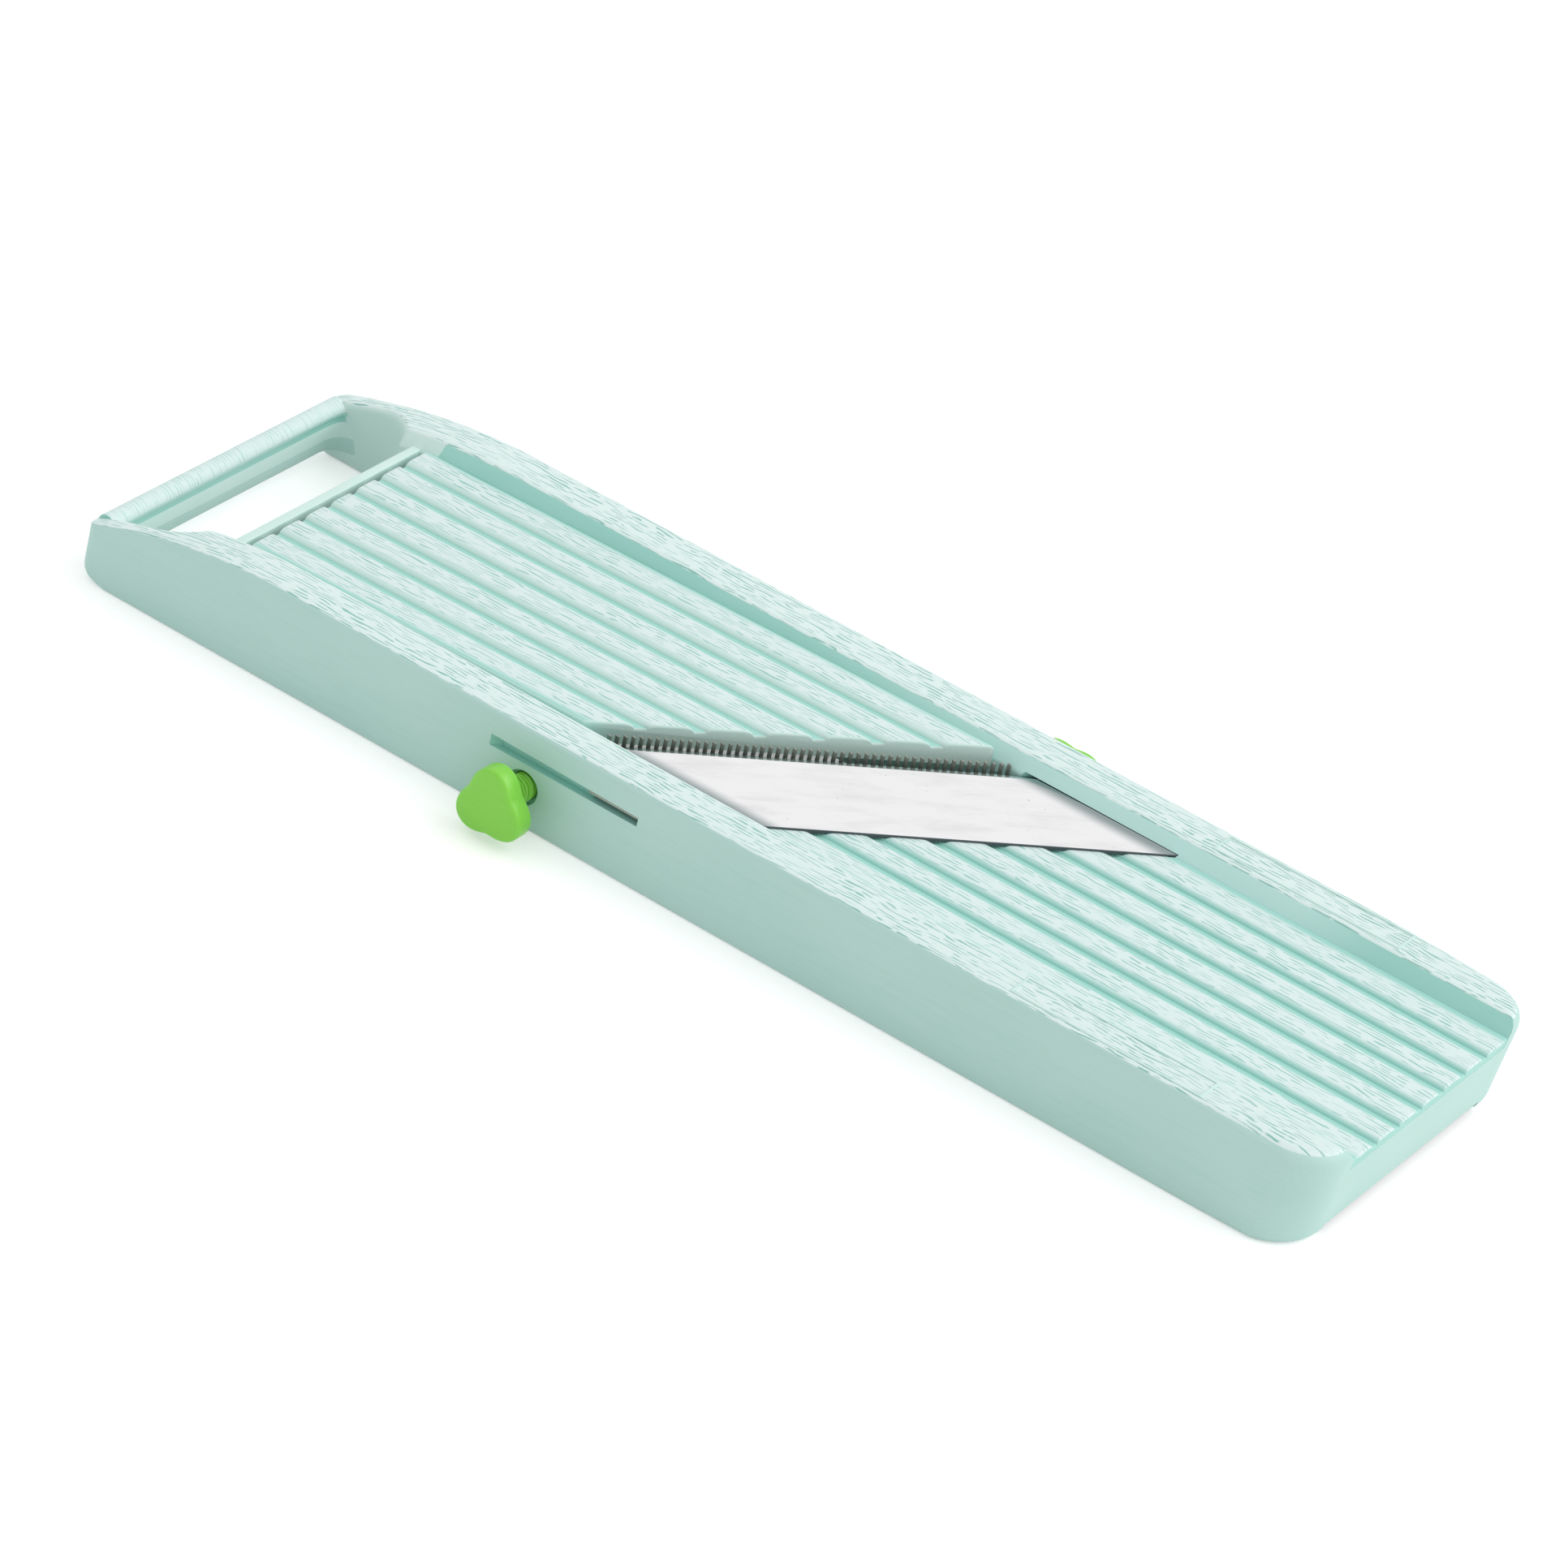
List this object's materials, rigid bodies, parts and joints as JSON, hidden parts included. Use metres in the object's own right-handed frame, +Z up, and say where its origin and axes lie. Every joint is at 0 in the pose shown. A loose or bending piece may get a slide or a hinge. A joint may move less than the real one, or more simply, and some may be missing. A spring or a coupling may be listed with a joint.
{
  "type": "mandoline slicer",
  "caption": "Hand-held food slicer with grooved runway, hinged depth plate, diagonal steel blade, upright comb blade and thumb screws.",
  "frame": {"origin": "middle of the flat underside that the slicer lies on, at the centre of its overall box", "axes": "+X along the body towards the outfeed end, +Y towards the far rail, +Z up out of the slicing surface"},
  "size_m": [0.3154, 0.116, 0.0237],
  "materials": {
    "mint": "satin moulded plastic, pale mint, fine grain on the top faces",
    "lime": "smooth moulded plastic, lime green",
    "steel": "satin stainless steel"
  },
  "bodies": {
    "base": {"near_rail": "mint", "far_rail": "mint", "handle_bar": "mint", "hinge_bar": "mint", "outfeed_bed": "mint", "bed_ribs": "mint", "outfeed_end_wall": "mint", "rail_panels": "mint", "screw_bridge": "mint", "plate_hinge_rod": "steel", "main_blade": "steel", "blade_screws": "steel"},
    "plate": {"adjustable_plate": "mint"},
    "comb": {"comb_blade": "steel"},
    "depth_slider": {"depth_screw_shank": "lime"},
    "depth_turner": {"depth_knob": "lime"},
    "near_slider": {"near_screw_shank": "lime"},
    "near_turner": {"near_knob": "lime"},
    "far_slider": {"far_screw_shank": "lime"},
    "far_turner": {"far_knob": "lime"}
  },
  "joints": [
    {"name": "plate_tilt", "type": "hinge", "parent": "base", "child": "plate", "pos_m": [-0.1207, 0, 0.0168], "axis": [0, 1, 0], "range_deg": [0, 3]},
    {"name": "depth_travel", "type": "slide", "parent": "base", "child": "depth_slider", "axis": [0, 0, -1], "range_m": [0, 0.0037]},
    {"name": "depth_turn", "type": "hinge", "parent": "depth_slider", "child": "depth_turner", "pos_m": [-0.052, 0, 0.006], "axis": [0, 0, -1], "range_deg": [0, 435]},
    {"name": "near_travel", "type": "slide", "parent": "base", "child": "near_slider", "axis": [0, -1, 0], "range_m": [0, 0.003]},
    {"name": "near_turn", "type": "hinge", "parent": "near_slider", "child": "near_turner", "pos_m": [-0.0388, -0.052, 0.0091], "axis": [0, -1, 0], "range_deg": [0, 361]},
    {"name": "far_travel", "type": "slide", "parent": "base", "child": "far_slider", "axis": [0, 1, 0], "range_m": [0, 0.003]},
    {"name": "far_turn", "type": "hinge", "parent": "far_slider", "child": "far_turner", "pos_m": [0.0344, 0.052, 0.0091], "axis": [0, 1, 0], "range_deg": [0, 361]},
    {"name": "comb_drop", "type": "slide", "parent": "base", "child": "comb", "axis": [0, 0, -1], "range_m": [0, 0.0012]}
  ],
  "couplings": [
    {"joint": "depth_travel", "follows": "plate_tilt", "m_per_rad": 0.0687},
    {"joint": "depth_turn", "follows": "plate_tilt", "ratio": 143.88},
    {"joint": "near_turn", "follows": "near_travel", "rad_per_m": 2094.4},
    {"joint": "far_turn", "follows": "far_travel", "rad_per_m": 2094.4}
  ]
}
